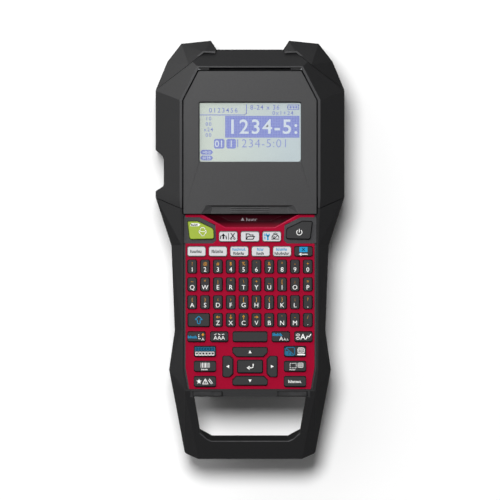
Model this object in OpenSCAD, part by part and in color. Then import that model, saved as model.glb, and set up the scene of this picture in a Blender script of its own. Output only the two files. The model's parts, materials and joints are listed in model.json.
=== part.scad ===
// Handheld tape label printer with a flip-up display lid, a full keyboard and a carry handle.
// It lies on its back: Z = 0 is the table, +Z comes out of the keyboard and +Y points to the display end.

/* [Body] */
// Width across the head
head_w = 124.6; // [122:0.1:127]
// Top edge of the head, measured from the middle of the length
head_top_y = 132.3; // [131.5:0.1:133]
// Width of the grip at its narrowest
waist_w = 99.4; // [99:0.1:101]
// End of the carry handle, measured from the middle of the length
handle_end_y = -138.2; // [-141:0.1:-137.5]
// Height of the rim around the display, above the table
rim_z = 70; // [69.8:0.1:72]
// Height of the parting line between the rear case and the front frames
seam_z = 40; // [38:0.5:42]
// Thickness of the case walls
wall = 3; // [2.6:0.1:3.4]
// Gap left between neighbouring housing pieces
panel_gap = 0.4; // [0.1:0.05:0.5]

/* [Display lid] */
// Width of the lid
lid_w = 87.6; // [86.6:0.1:88]
// Lower edge of the lid
lid_low_y = 23.9; // [23.7:0.1:24.4]
// Upper edge of the lid
lid_high_y = 117.9; // [117.5:0.1:117.9]
// Height of the lid's face above the table
lid_z = 68.5; // [68.4:0.1:68.9]
// Width of the display window
window_w = 67.6; // [60:0.1:70]
// Height of the display window
window_h = 39.8; // [34:0.1:41]
// Middle of the display window
window_y = 77.9; // [76:0.1:79]

/* [Keyboard] */
// Spacing of the letter keys along a row
key_pitch = 8.47; // [8.3:0.01:8.6]
// Spacing of the letter rows
row_pitch = 11.75; // [11.5:0.01:11.85]
// Width of a letter key
letter_w = 6.1; // [5.4:0.1:6.4]
// Length of a letter key
letter_h = 8.7; // [8:0.1:9.2]
// Distance that a key travels when pressed
key_travel = 0.8; // [0.5:0.1:0.9]
// Gap between a key and its hole
key_gap = 0.3; // [0.2:0.05:0.4]

/* [Print drive] */
// Width of the label tape
tape_w = 24; // [18:1:24]
// Radius of a full tape roll
roll_r = 18; // [12:0.5:18]
// Gear module
gear_module = 0.8; // [0.79:0.01:0.8]
// Teeth of the motor pinion
pinion_teeth = 12; // [11:1:12]
// Teeth of the idler gear
idler_teeth = 24; // [22:1:24]
// Teeth of the platen and ribbon gears
platen_teeth = 20; // [18:1:20]

/* [Batteries] */
// Diameter of one battery
battery_d = 14.2; // [13.8:0.1:14.5]
// Length of one battery without its tip
battery_len = 49.5; // [48:0.5:49.5]

/* [Hidden] */
$fn = 48;
e = 0.01;
frame_black = [0.20, 0.20, 0.20];
lid_grey = [0.30, 0.30, 0.30];
panel_red = [0.67, 0.05, 0.17];
key_dark = [0.25, 0.25, 0.25];
key_light = [0.88, 0.88, 0.88];
rubber_black = [0.12, 0.12, 0.12];
steel = [0.72, 0.73, 0.75];
gear_white = [0.90, 0.89, 0.85];

// Heights above the table.
back_z = 2;
floor_z = back_z + wall;
head_edge_z = rim_z - 10;
grip_rim_z = rim_z - 3;
grip_edge_z = rim_z - 12;
deck_z = rim_z - 13;
panel_z = rim_z - 6;
plate_z = panel_z - 3.6;
key_z = panel_z + 2.4;
key_base_z = plate_z - 1.6;
keymat_z = key_base_z - key_travel - 0.4;
board_z = keymat_z - 3.4;

// Half widths and stations along Y.
head_x = head_w / 2;
waist_x = waist_w / 2;
shoulder_y = 105.1;
hip_y = 34.8;
neck_y = 3;
neck_x = 51.9;
waist_y = -53.1;
knee_x = 53.4;
knee_y = -78.9;
head_bevel = 8;
grip_bevel = 20;

// Keyboard rows and columns.
column_x = function (i) (i - 4.5) * key_pitch;
number_row_y = -10.9;
key_corner = 0.7;
flange = 0.6;

// Lid.
skin = 2.1;
hinge_y = lid_high_y + 1.2;
hinge_z = lid_z;
hinge_r = 0.6;
pin_r = 1.5;
run_gap = 0.05;

// Print drive, seen from above.
platen_pos = [-26, 55.2];
platen_r = 4.5;
pitch_r = function (teeth) gear_module * teeth / 2;
polar = function (angle, length) length * [cos(angle), sin(angle)];
idler_angle = 100;
motor_angle = 110;
ribbon_angle = 10;
idler_pos = platen_pos + polar(idler_angle, pitch_r(platen_teeth) + pitch_r(idler_teeth));
motor_pos = idler_pos + polar(motor_angle, pitch_r(idler_teeth) + pitch_r(pinion_teeth));
ribbon_pos = platen_pos + polar(ribbon_angle, 2 * pitch_r(platen_teeth));
roll_pos = [20, 84];
supply_pos = [-4, 98];
gear_z = 11;
gear_t = 6;
bay_floor_z = 20;
bay_floor_t = 2;
tape_z = bay_floor_z + bay_floor_t + 2.6;
tape_y = 50.45;
cutter_pos = [-47, 74];
crank_r = 2.25;

// Fasteners: x, y of each screw on the right half.
screw_spots = [[54, 98], [53.3, 36.6], [46.5, -84], [33, -127.5]];
screw_seat_z = 28;
screw_end_z = 50;

foot_spots = [[40, 112, 5], [28.4, -86, 3.6]];

// Helpers -----------------------------------------------------------------------------------------

// Mirrors a list of right-hand points to the left and closes the outline.
function sym(pts) = concat(pts, [for (i = [len(pts) - 1:-1:0]) [-pts[i].x, pts[i].y]]);

// Convex solid through points given for the right-hand side only.
module convex(points) {
  all_points = [for (p = points, s = [-1, 1]) [s * p.x, p.y, p.z]];
  hull() polyhedron(all_points, [[for (i = [0:len(all_points) - 1]) i]]);
}

module slab(z0, z1) translate([0, 0, z0]) linear_extrude(z1 - z0) children();

module both_sides() {
  children();
  mirror([1, 0, 0]) children();
}

module rod(r, z0, z1) translate([0, 0, z0]) cylinder(r = r, h = z1 - z0);

module block(x, y, z) translate([x[0], y[0], z[0]]) cube([x[1] - x[0], y[1] - y[0], z[1] - z[0]]);

// Rounded rectangle from exact arcs.
module round_rect(w, h, r) {
  square([w, h - 2 * r], center = true);
  square([w - 2 * r, h], center = true);
  for (sx = [-1, 1], sy = [-1, 1]) translate([sx * (w / 2 - r), sy * (h / 2 - r)]) circle(r);
}

// Body volume ---------------------------------------------------------------------------------------

// Cross-section of the body at one station: back face, two side corners and the rim.
function station(y, side, bevel, edge_z, rim_x, top_z) = [
  [side - bevel, y, back_z], [side, y, back_z + bevel], [side, y, edge_z], [rim_x, y, top_z]
];

hip = station(hip_y, head_x, head_bevel, head_edge_z, 46.4, rim_z);
neck = station(neck_y, neck_x, grip_bevel, grip_edge_z, 45, grip_rim_z);
waist = station(waist_y, waist_x, grip_bevel, grip_edge_z, 45, grip_rim_z);
knee = station(knee_y, knee_x, grip_bevel, grip_edge_z, 45, grip_rim_z);
head_end = [
  for (z = [back_z + head_bevel, head_edge_z], p = [[head_x, shoulder_y], [47.3, head_top_y]])
    [p.x, p.y, z]
];
head_rim = [[46.4, 98.9, rim_z], [34.8, 121.2, rim_z]];
head_back = [[head_x - head_bevel, 103, back_z], [43, head_top_y - head_bevel, back_z]];
handle_end = concat(
  [[31.5, -92, back_z], [43, -93, grip_rim_z - 1], [35, -129, 23], [34.3, handle_end_y + 0.4, 49]],
  [for (z = [30, 46], p = [[43.2, -133.6], [42.1, -134.7], [34.3, handle_end_y]]) [p.x, p.y, z]]
);

module body_volume() {
  convex(concat(hip, head_end, head_rim, head_back));
  convex(concat(hip, neck));
  convex(concat(neck, waist));
  convex(concat(waist, knee));
  convex(concat(knee, handle_end));
}

// Outline of the body, without the bumpers.
module body_plan() {
  difference() {
    polygon(sym([
      [47.3, head_top_y], [head_x, shoulder_y], [head_x, hip_y], [neck_x, neck_y],
      [waist_x, waist_y], [knee_x, knee_y], [43.2, -133.6], [34.3, handle_end_y]
    ]));
    both_sides() bumper_plan();
    notch_plan();
    handle_opening();
  }
}

// Everything outside the seam between the head and its right-hand bumper.
module bumper_plan() {
  polygon([
    [22.7, 129.6], [21.6, 132.3], [21.6, 150], [80, 150], [80, 105.5],
    [head_x, 105.5], [40.4, 122.1], [30.3, 130.1]
  ]);
}

// Hand opening of the carry handle.
module handle_opening() {
  polygon(sym([[37.1, -96.7], [33.3, -118.6], [25.2, -123]]));
}

// Finger notch in the left side, where the printed label comes out.
module notch_plan() {
  floor_x = -head_x + 5.4;
  polygon([
    [-head_x - 5, 70.1], [-head_x, 66], [floor_x - 2.6, 63.8], [floor_x - 0.7, 61.6], [floor_x, 59.4],
    [floor_x, 43.2], [floor_x - 0.6, 41.9], [-head_x, 38.9], [-head_x - 5, 36.3]
  ]);
}

// Opening in the head frame around the lid.
module lid_opening() {
  polygon(sym([[33.6, 120.3], [44.8, 98.7], [44.8, 27.4]]));
}

// Zone of the head frame, in front of the seam to the grip frame.
module head_zone() {
  polygon(sym([[80, 150], [80, 42.5], [head_x, hip_y], [47.6, 28.4], [44.3, 27.4]]));
}

// Zone taken by the keypad inside the grip frame.
module keypad_zone() {
  polygon(sym([[44, 27.4], [44, -77.6], [41.4, -91.9]]));
}

module case_cavity() {
  intersection() {
    slab(0, deck_z) offset(delta = -wall) body_plan();
    union() {
      // The head's cavity follows the small bevels of its back.
      translate([0, 150, 0]) rotate([90, 0, 0]) linear_extrude(150 - hip_y)
        polygon(sym([[head_x, deck_z], [head_x, floor_z + head_bevel + 1], [head_x - 12, floor_z]]));
      // The grip's cavity follows the large ones.
      translate([0, hip_y + e, 0]) rotate([90, 0, 0]) linear_extrude(hip_y + 89)
        polygon(sym([[60, deck_z], [60, floor_z + 31.6], [28.4, floor_z]]));
      // The handle is only lightly hollowed.
      block([-60, 60], [-140, -98], [33, 45]);
    }
  }
}

module at_screws() {
  for (s = [-1, 1], p = screw_spots) translate([s * p.x, p.y, 0]) children();
}

// Slot that passes the tape through the side walls.
module tape_slot() block([-70, -40], [tape_y - 0.8, tape_y + 1], [tape_z - 1, tape_z + tape_w + 1]);

// Tongue that holds a bumper to the rear case.
module bumper_tongue(gap) {
  translate([51.35, 113.8, 26]) rotate([0, 0, 37.2])
    cube([6 + 2 * gap, 7 + 2 * gap, 20 + 2 * gap], center = true);
}

// Housing -------------------------------------------------------------------------------------------

module rear_case() {
  color(frame_black) difference() {
    union() {
      difference() {
        body_volume();
        case_cavity();
      }
      // Screw posts.
      for (s = [-1, 1]) {
        for (p = [screw_spots[0], screw_spots[1]]) translate([s * p.x, p.y, 0]) rod(5, 11, seam_z);
        translate([s * screw_spots[2].x, screw_spots[2].y, 0]) rod(5, 22, seam_z);
        translate([s * screw_spots[3].x, screw_spots[3].y, 0]) rod(4, screw_seat_z + 1, seam_z);
      }
      // Battery box.
      block([-24.4, 24.4], [-90.2, 17.4], [floor_z - e, floor_z + 19.6]);
      // Wall behind the finger notch.
      block([-head_x + 2, -head_x + 5.4 + wall], [36, 68], [16, seam_z]);
    }
    // The rear case ends at the parting line.
    block([-80, 80], [-150, 150], [seam_z, 90]);
    slab(-1, 90) {
      both_sides() bumper_plan();
      notch_plan();
      handle_opening();
    }
    both_sides() bumper_tongue(0.1);
    tape_slot();
    // Screw holes with deep counterbores.
    at_screws() {
      rod(3.2, -1, screw_seat_z);
      rod(1.7, screw_seat_z - 1, seam_z + 1);
    }
    // Battery box and the seat of its door.
    block([-22.6, 22.6], [-88.6, 15.6], [-1, floor_z + 18]);
    block([-24.2, 24.2], [-89.6, 19.6], [-1, floor_z - 1]);
    block([-12.2, 12.2], [15, 19.6], [-1, floor_z + 0.2]);
    // Recesses for the feet.
    for (s = [-1, 1], f = foot_spots) translate([s * f.x, f.y, 0]) rod(f.z + 0.05, -1, back_z + 1);
    // Sockets in the right side.
    translate([head_x + 1, 72, 26]) rotate([0, -90, 0]) cylinder(r = 4.2, h = 6);
    block([head_x - 5, head_x + 1], [83.6, 93.4], [23.6, 28.4]);
  }
  color(frame_black) door_lugs();
}

// Lugs that carry the ends of the battery door's hinge pin.
module door_lugs() {
  both_sides() difference() {
    block([12.4, 18.4], [16.2, 19.6 + e], [back_z + 0.2, floor_z - 1 + e]);
    translate([0, 17.8, 3.2]) rotate([0, 90, 0]) cylinder(r = 0.8 + run_gap, h = 17.8);
  }
}

module head_frame() {
  color(frame_black) difference() {
    union() {
      difference() {
        intersection() {
          body_volume();
          slab(seam_z + 0.05, 90) head_zone();
        }
        case_cavity();
      }
      for (s = [-1, 1], p = [screw_spots[0], screw_spots[1]])
        translate([s * p.x, p.y, 0]) rod(4.4, seam_z + 0.05, deck_z + e);
      block([-head_x + 2, -head_x + 5.4 + wall], [36, 68], [seam_z + 0.05, deck_z + e]);
      // Bar that closes the frame below the lid.
      block([-46.2, 46.2], [27.4, 28.6], [seam_z + 8, deck_z]);
    }
    slab(deck_z - 1, 90) lid_opening();
    slab(0, 90) {
      both_sides() bumper_plan();
      notch_plan();
    }
    tape_slot();
    at_screws() rod(pin_r + 0.02, 0, screw_end_z + 1);
    along_hinge(-36.8, 36.8) circle(hinge_r + 0.02);
  }
}

module grip_frame() {
  color(frame_black) difference() {
    union() {
      difference() {
        body_volume();
        case_cavity();
        // Hand opening with a bevelled edge at its lower side.
        slab(-1, 90) handle_opening();
        handle_bevel();
      }
      for (s = [-1, 1]) {
        translate([s * screw_spots[2].x, screw_spots[2].y, 0]) rod(4, seam_z, deck_z);
        translate([s * screw_spots[3].x, screw_spots[3].y, 0]) rod(4, seam_z, seam_z + 6);
      }
    }
    block([-80, 80], [-150, 150], [-1, seam_z + 0.05]);
    slab(0, 90) offset(delta = panel_gap) head_zone();
    // Seat of the keypad, with a ledge below the plate.
    slab(plate_z - 0.2, 90) keypad_zone();
    slab(0, 90) offset(delta = -1.6) keypad_zone();
    block([-42.4, 42.4], [0, 40], [0, 90]);
    // Room for the lower edge of the lid and for the flanges of the lowest keys.
    block([-44.6, 44.6], [23.6, 40], [0, 90]);
    block([-38, 38], [-91.1, -85], [key_base_z - key_travel - 0.2, 90]);
    // Flat land of the crossbar and the beds of its pads.
    block([-39.5, 39.5], [-97, -91.5], [panel_z + 0.4, 90]);
    both_sides() block([18, 38], [-96.4, -93.2], [panel_z - 1, 90]);
    at_screws() rod(pin_r + 0.02, 0, screw_end_z + 1);
  }
}

// Bevel around the lower edge of the hand opening.
module handle_bevel() {
  hull() {
    slab(44, 44 + e) handle_opening();
    slab(60, 60 + e) polygon(sym([[37.1, -96.7], [33, -121.6], [25.7, -128.4]]));
  }
}

module corner_bumper() {
  outline = [
    [21.6, 132.3], [25.8, 138.2], [45.3, 136.2], [54.5, 124.3], [head_x, 105.5], [22.7, 129.6]
  ];
  seam_points = [[40.4, 122.1, 67], [30.3, 130.1, 63.4], [22.7, 129.6, 62.8], [22.2, 132.3, 61.2]];
  outer_points = [[25.8, 138.2, 58], [45.3, 136.2, 58], [54.5, 124.3, 60.5], [head_x, 105.5, 60]];
  low_points = [for (p = outline) [p.x, p.y, 14]];
  back_points = [[25, 131, 6], [43, 130, 6], [58, 109, 6]];
  points = concat(seam_points, outer_points, low_points, back_points);
  intersection() {
    union() {
      hull() polyhedron(points, [[for (i = [0:len(points) - 1]) i]]);
      // Flat lip along the seam.
      slab(50, 64.2)
        polygon([[30.3, 130.1], [22.7, 129.6], [23.2, 131.2], [31, 131.2], [37, 126.2], [36, 124]]);
    }
    slab(0, 90) offset(delta = -panel_gap / 2) bumper_plan();
  }
  intersection() {
    bumper_tongue(0);
    translate([51.35, 113.8, 26]) rotate([0, 0, 37.2]) block([-4, 4], [-4, 4], [-20, 20]);
  }
}

module corner_bumper_right() color(frame_black) corner_bumper();

module corner_bumper_left() color(frame_black) mirror([1, 0, 0]) corner_bumper();

module crossbar_pads() {
  color(rubber_black) both_sides() block([18.1, 37.9], [-96.3, -93.3], [panel_z - 0.95, panel_z + 2]);
}

module rubber_feet() {
  color(rubber_black) for (s = [-1, 1], f = foot_spots)
    translate([s * f.x, f.y, 0]) rod(f.z, 0, back_z + 0.95);
}

module case_screws() {
  color(steel) at_screws() difference() {
    union() {
      rod(2.8, screw_seat_z - 2.4, screw_seat_z);
      rod(pin_r, screw_seat_z - e, screw_end_z);
    }
    // Cross recess in the head.
    block([-1.8, 1.8], [-0.4, 0.4], [screw_seat_z - 3, screw_seat_z - 1.2]);
    block([-0.4, 0.4], [-1.8, 1.8], [screw_seat_z - 3, screw_seat_z - 1.2]);
  }
}

module battery_door() {
  color(frame_black) {
    block([-24, 24], [-89.4, 15.8], [back_z + 0.2, floor_z - 1.1]);
    // Knuckle around the hinge pin.
    difference() {
      union() {
        translate([-12, 17.8, 3.2]) rotate([0, 90, 0]) cylinder(r = 1.3, h = 24);
        block([-12, 12], [15.7, 17.8], [back_z + 0.2, 3.2]);
      }
      translate([-13, 17.8, 3.2]) rotate([0, 90, 0]) cylinder(r = 0.8 + run_gap, h = 26);
    }
    // Ribs that press on the batteries.
    for (x = [-14.9, 0, 14.9]) block([x - 0.8, x + 0.8], [-80, 8], [floor_z - 1.1 - e, floor_z + 1]);
  }
}

module battery_door_pin() {
  color(steel) translate([-17.6, 17.8, 3.2]) rotate([0, 90, 0]) cylinder(r = 0.8, h = 35.2);
}

module batteries() {
  color([0.75, 0.55, 0.15]) for (column = [-1:1], row = [0, 1]) {
    low_y = row == 0 ? -35.9 : -87.4;
    translate([column * 14.9, low_y, floor_z + 9]) rotate([-90, 0, 0]) {
      cylinder(d = battery_d, h = battery_len);
      cylinder(r = 2.7, h = battery_len + 1);
    }
  }
}

module battery_contacts() {
  color(steel) for (column = [-1:1], y = [14.9, -88.3])
    block([column * 14.9 - 5, column * 14.9 + 5], [y, y + 0.4], [floor_z + 3, floor_z + 15]);
}

module dc_jack() {
  color(rubber_black) difference() {
    union() {
      translate([head_x - 0.8, 72, 26]) rotate([0, -90, 0]) cylinder(r = 4, h = 4);
      block([head_x - 14, head_x - 3.6], [67.2, 76.8], [21, 31]);
    }
    translate([head_x, 72, 26]) rotate([0, -90, 0]) cylinder(r = 2.8, h = 10);
  }
}

module usb_socket() {
  color(steel) difference() {
    block([head_x - 12, head_x - 1], [84, 93], [24, 28]);
    block([head_x - 9, head_x], [84.5, 92.5], [24.5, 27.5]);
  }
  color(rubber_black) block([head_x - 9 - e, head_x - 2], [86, 91], [25.6, 26.4]);
}

// Keyboard ------------------------------------------------------------------------------------------

// Rectangular key outline with cut corners.
module key_rect(x, y, w, h) {
  c = key_corner;
  translate([x, y]) polygon([
    [-w / 2 + c, h / 2], [w / 2 - c, h / 2], [w / 2, h / 2 - c], [w / 2, -h / 2 + c],
    [w / 2 - c, -h / 2], [-w / 2 + c, -h / 2], [-w / 2, -h / 2 + c], [-w / 2, h / 2 - c]
  ]);
}

module letter_row(row, first, last) {
  for (i = [first:last]) key_rect(column_x(i), number_row_y - row * row_pitch, letter_w, letter_h);
}

module print_key_plan() {
  polygon([[-41.1, 18.2], [-40.5, 18.9], [-34.6, 19], [-24.9, 14.4], [-24.2, 13.4], [-23.9, 8.2],
    [-24.6, 7.4], [-39, 7.1], [-39.8, 7.8]]);
}

module menu_keys_plan() for (i = [-1:1]) key_rect(i * 14.35, 8.9, 11.95, 6.8);

module label_type_keys_plan() for (i = [0:4]) key_rect((i - 2.5) * 14.1, -0.9, 11.75, 6.6);

module backspace_key_plan() key_rect(2.5 * 14.1, -0.9, 11.75, 6.6);

module shift_key_plan() key_rect(-33.8, number_row_y - 3 * row_pitch, 14.4, letter_h);

module mode_keys_plan() for (x = [-35.3, -20.3, 20.3, 35.2]) key_rect(x, -57.15, 11.7, 6.7);

module space_key_plan() key_rect(0, -57.15, 22.6, 6.7);

module left_side_keys_plan() for (y = [-66.85, -76.7, -86.7]) key_rect(-29.7, y, 14.3, 6.9);

module up_key_plan() {
  polygon(sym([[10.8, -64.2], [11.45, -64.9], [11.45, -67.6], [8.9, -70.2], [8.4, -70.3]]));
}

module down_key_plan() {
  polygon(sym([[9.1, -83.2], [11.45, -85.6], [11.45, -88.5], [10.8, -89.2]]));
}

module left_key_plan() {
  polygon([[-18.05, -70.7], [-17.4, -70], [-13.1, -70], [-11.1, -72], [-11.1, -81.6],
    [-13.1, -83.6], [-17.4, -83.6], [-18.05, -82.9]]);
}

module enter_key_plan() key_rect(0, -76.8, 16.8, 8.5);

module all_key_plans() {
  both_sides() {
    print_key_plan();
    left_side_keys_plan();
    left_key_plan();
  }
  menu_keys_plan();
  label_type_keys_plan();
  backspace_key_plan();
  for (row = [0:2]) letter_row(row, 0, 9);
  letter_row(3, 2, 9);
  shift_key_plan();
  mode_keys_plan();
  space_key_plan();
  up_key_plan();
  down_key_plan();
  enter_key_plan();
}

// Key cap with a retaining flange, made from its outline.
module keycap() {
  slab(key_base_z, key_z) children();
  slab(key_base_z, key_base_z + 1.1) offset(delta = flange) children();
}

module print_key() color([0.65, 0.77, 0.23]) keycap() print_key_plan();

module power_key() color(key_dark) keycap() mirror([1, 0]) print_key_plan();

module menu_keys() color(key_light) keycap() menu_keys_plan();

module label_type_keys() color(key_light) keycap() label_type_keys_plan();

module backspace_key() color(key_dark) keycap() backspace_key_plan();

module number_keys() color(key_dark) keycap() letter_row(0, 0, 9);

module top_letter_keys() color(key_dark) keycap() letter_row(1, 0, 9);

module home_letter_keys() color(key_dark) keycap() letter_row(2, 0, 9);

module bottom_letter_keys() color(key_dark) keycap() letter_row(3, 2, 9);

module shift_key() color(key_dark) keycap() shift_key_plan();

module mode_keys() color(key_dark) keycap() mode_keys_plan();

module space_key() color(key_dark) keycap() space_key_plan();

module left_side_keys() color(key_dark) keycap() left_side_keys_plan();

module right_side_keys() color(key_dark) keycap() mirror([1, 0]) left_side_keys_plan();

module up_key() color(key_dark) keycap() up_key_plan();

module down_key() color(key_dark) keycap() down_key_plan();

module left_key() color(key_dark) keycap() left_key_plan();

module right_key() color(key_dark) keycap() mirror([1, 0]) left_key_plan();

module enter_key() color(key_dark) keycap() enter_key_plan();

module key_holes() slab(0, 90) offset(delta = key_gap) all_key_plans();

// Grey field around the print key.
module surround_plan() {
  polygon([[-43.8, 21.5], [-33.4, 21.5], [-22.9, 16.5], [-22.4, 6.4], [-24.6, 4.4], [-43.8, 4.4]]);
}

// Thickened zone of the bezel that holds the finger scoop.
module scoop_zone() polygon(sym([[34.5, 23.4], [34.5, 22.4], [17, 13.2]]));

module keypad_bezel() {
  color(panel_red) difference() {
    union() {
      slab(plate_z + 1.9, panel_z) polygon(sym([[42.5, 23.4], [42.5, -77.6], [40, -91.7]]));
      slab(plate_z - 1, panel_z) scoop_zone();
    }
    both_sides() slab(0, 90) offset(delta = 0.15) surround_plan();
    key_holes();
    // Finger scoop below the edge of the lid.
    hull() {
      slab(panel_z, panel_z + 1) polygon(sym([[33.4, 24], [16.3, 14.6]]));
      slab(plate_z + 0.4, panel_z) polygon(sym([[25, 24], [13, 19.2]]));
    }
  }
}

module keypad_plate() {
  color(lid_grey) difference() {
    union() {
      slab(plate_z, plate_z + 1.8) intersection() {
        offset(delta = -0.2) keypad_zone();
        translate([-50, -100]) square([100, 123.4]);
      }
      both_sides() slab(plate_z, panel_z) surround_plan();
    }
    slab(0, 90) offset(delta = 0.15) scoop_zone();
    key_holes();
  }
}

module keymat() {
  color(rubber_black) difference() {
    slab(keymat_z - 1.6, keymat_z) board_plan(1.9);
    // Slots between the rows.
    for (y = [3.2, -50.5 - 1.9]) block([-38, 38], [y - 0.5, y + 0.5], [0, 90]);
  }
}

// Plan of the flat parts below the keyboard.
module board_plan(inset) {
  intersection() {
    offset(delta = -inset) keypad_zone();
    translate([-50, -100]) square([100, 120]);
  }
}

module main_board() {
  color([0.05, 0.35, 0.18]) slab(board_z, board_z + 1.6) board_plan(2.4);
  // Chips on the underside.
  color(rubber_black) {
    block([-8, 8], [-30, -14], [board_z - 2, board_z + e]);
    block([14, 26], [-12, -4], [board_z - 1.6, board_z + e]);
    block([-30, -18], [-60, -48], [board_z - 1.6, board_z + e]);
  }
}

// Display lid ---------------------------------------------------------------------------------------

// Bar along the lid's hinge axis, from x0 to x1, with the given round section.
module along_hinge(x0, x1) {
  translate([x0, hinge_y, hinge_z]) rotate([0, 90, 0]) linear_extrude(x1 - x0) children();
}

module lid_plan() polygon(sym([[33.8, lid_high_y], [lid_w / 2, 98.7], [lid_w / 2, lid_low_y]]));

module display_lid() {
  color(lid_grey) difference() {
    union() {
      difference() {
        slab(lid_z - 9.1, lid_z) lid_plan();
        slab(0, lid_z - skin) offset(delta = -2.2) lid_plan();
      }
      // Hinge knuckles beyond the upper edge.
      both_sides() {
        along_hinge(27, 33) circle(1.1);
        block([27, 33], [lid_high_y - 1, hinge_y], [hinge_z - 1.1, hinge_z - 0.3]);
      }
      // Floor of the grip recess.
      block([-34, 34], [lid_low_y + 1, 31], [lid_z - 4.4, lid_z - skin + e]);
    }
    translate([0, window_y, 0]) slab(lid_z - 5, 90) round_rect(window_w, window_h, 1.2);
    along_hinge(-40, 40) circle(hinge_r + run_gap);
    // Grip recess with sloping sides.
    hull() {
      slab(lid_z, lid_z + 1) polygon(sym([[29, 29.5], [32.5, lid_low_y - 0.5]]));
      slab(lid_z - 2.4, lid_z) polygon(sym([[24.6, 28.4], [26, lid_low_y - 0.5]]));
    }
  }
  // Ridges for the fingertip.
  color(lid_grey) for (y = [24.9, 26.3, 27.7])
    block([-12.5, 12.5], [y - 0.35, y + 0.35], [lid_z - 2.4 - e, lid_z - 1.6]);
}

module display_window() {
  color([0.8, 0.85, 0.85, 0.4]) translate([0, window_y, 0])
    slab(lid_z - skin - 1.5, lid_z - skin - 0.1) round_rect(window_w + 4, window_h + 4, 2);
}

module lcd_module() {
  color([0.77, 0.82, 0.80]) block([-37, 37], [window_y - 23, window_y + 23], [lid_z - 8.1, lid_z - 3.8]);
}

module lid_inner_cover() {
  color(frame_black) difference() {
    slab(lid_z - 10.8, lid_z - 9.2) polygon(sym([[36, 111.6], [42.6, 98.4], [42.6, 24.6]]));
    // Grooves that stiffen the plate.
    for (x = [-24:12:24]) block([x - 0.8, x + 0.8], [36, 102], [0, lid_z - 10.2]);
  }
}

module lid_hinge_pins() {
  color(steel) both_sides() along_hinge(28, 36.6) circle(hinge_r);
}

// Tape bay and print drive ----------------------------------------------------------------------------

module cartridge_bay() {
  color([0.28, 0.28, 0.29]) {
    difference() {
      union() {
        slab(bay_floor_z, deck_z - 0.2) bay_plan(0.4);
        // Flange below the rim of the frame.
        slab(deck_z - 1.7, deck_z - 0.1) bay_plan(-1);
      }
      slab(bay_floor_z + bay_floor_t, 90) bay_plan(2);
      translate([platen_pos.x, platen_pos.y, 0]) rod(pin_r + run_gap, 0, 90);
      translate([ribbon_pos.x, ribbon_pos.y, 0]) rod(2.5 + run_gap, 0, 90);
      translate([motor_pos.x, motor_pos.y, 0]) rod(1.3, 0, 90);
      tape_slot();
    }
    // Stud of the idler gear.
    translate([idler_pos.x, idler_pos.y, 0]) rod(pin_r, gear_z - 1, bay_floor_z + e);
  }
}

// Plan of the bay; its lower corners keep clear of the sloping sides of the grip.
module bay_plan(inset) {
  offset(delta = -inset) intersection() {
    lid_opening();
    polygon(sym([[60, 130], [60, 35.8], [43.4, 35.8], [43.4, 29.8]]));
  }
}

module cartridge_case() {
  low = bay_floor_z + bay_floor_t + 0.3;
  high = tape_z + tape_w + 2.5;
  color([0.86, 0.86, 0.84]) difference() {
    union() {
      difference() {
        slab(low, high) cartridge_plan();
        slab(low + 1.4, high - 1.4) offset(delta = -1.4) cartridge_plan();
      }
      // Posts of the tape roll and the ribbon supply.
      translate([roll_pos.x, roll_pos.y, 0]) rod(4, low, high - 1.4 + e);
      translate([supply_pos.x, supply_pos.y, 0]) rod(2.4, low, high - 1.4 + e);
    }
    // Hole for the ribbon spindle and mouth for the tape.
    translate([ribbon_pos.x, ribbon_pos.y, 0]) rod(4, 0, 60);
    block([-20, -10], [tape_y - 1.5, tape_y + 2], [tape_z - 0.5, tape_z + tape_w + 0.5]);
    // Sight window over the roll.
    block([14, 26], [68, 76], [high - 3, high + 1]);
  }
}

module cartridge_plan() polygon([[-17, 42], [40, 42], [40, 98], [33, 110], [-17, 110]]);

module tape_roll() {
  color([0.93, 0.90, 0.55]) translate([roll_pos.x, roll_pos.y, 0]) difference() {
    rod(roll_r, tape_z, tape_z + tape_w);
    rod(4.2, 0, 90);
  }
}

module ribbon_supply_spool() {
  color([0.2, 0.2, 0.25]) translate([supply_pos.x, supply_pos.y, 0]) difference() {
    rod(8, tape_z, tape_z + tape_w);
    rod(2.6, 0, 90);
  }
}

module ribbon_takeup_spool() {
  color(gear_white) translate([ribbon_pos.x, ribbon_pos.y, 0]) difference() {
    rod(5.2, tape_z, tape_z + tape_w);
    rod(2.5 + run_gap, 0, 90);
  }
}

module label_tape() color([0.95, 0.93, 0.7])
  block([-46.4, -12], [tape_y, tape_y + 0.18], [tape_z, tape_z + tape_w]);

module platen_roller() {
  color(rubber_black) translate([platen_pos.x, platen_pos.y, 0]) {
    rod(platen_r, tape_z, tape_z + tape_w);
    rod(pin_r, gear_z - 1, tape_z + tape_w + 3);
  }
}

// Points of one involute tooth, centred on +X.
function tooth(teeth) = let(
  pitch = pitch_r(teeth),
  base = pitch * cos(20),
  tip = pitch + 0.9 * gear_module,
  root = pitch - 1.2 * gear_module,
  involute = function (r) let(a = acos(min(1, base / r))) tan(a) * 180 / PI - a,
  half = function (r) 86 / teeth + involute(pitch) - involute(max(r, base)),
  radii = [for (i = [0:4]) max(root, base - 0.1) + (tip - max(root, base - 0.1)) * i / 4]
) concat(
  [polar(-half(base), root)],
  [for (r = radii) polar(-half(r), r)],
  [for (i = [4:-1:0]) polar(half(radii[i]), radii[i])],
  [polar(half(base), root)]
);

module gear_plan(teeth, phase) {
  rotate(phase) polygon([
    for (i = [0:teeth - 1], p = tooth(teeth)) let(a = i * 360 / teeth)
      [p.x * cos(a) - p.y * sin(a), p.x * sin(a) + p.y * cos(a)]
  ]);
}

// Phase of a gear that meshes with a driver lying at the given angle.
function mesh_phase(driver_teeth, driver_phase, teeth, angle) =
  angle + 180 + 180 / teeth - driver_teeth / teeth * (driver_phase - angle);

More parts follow.
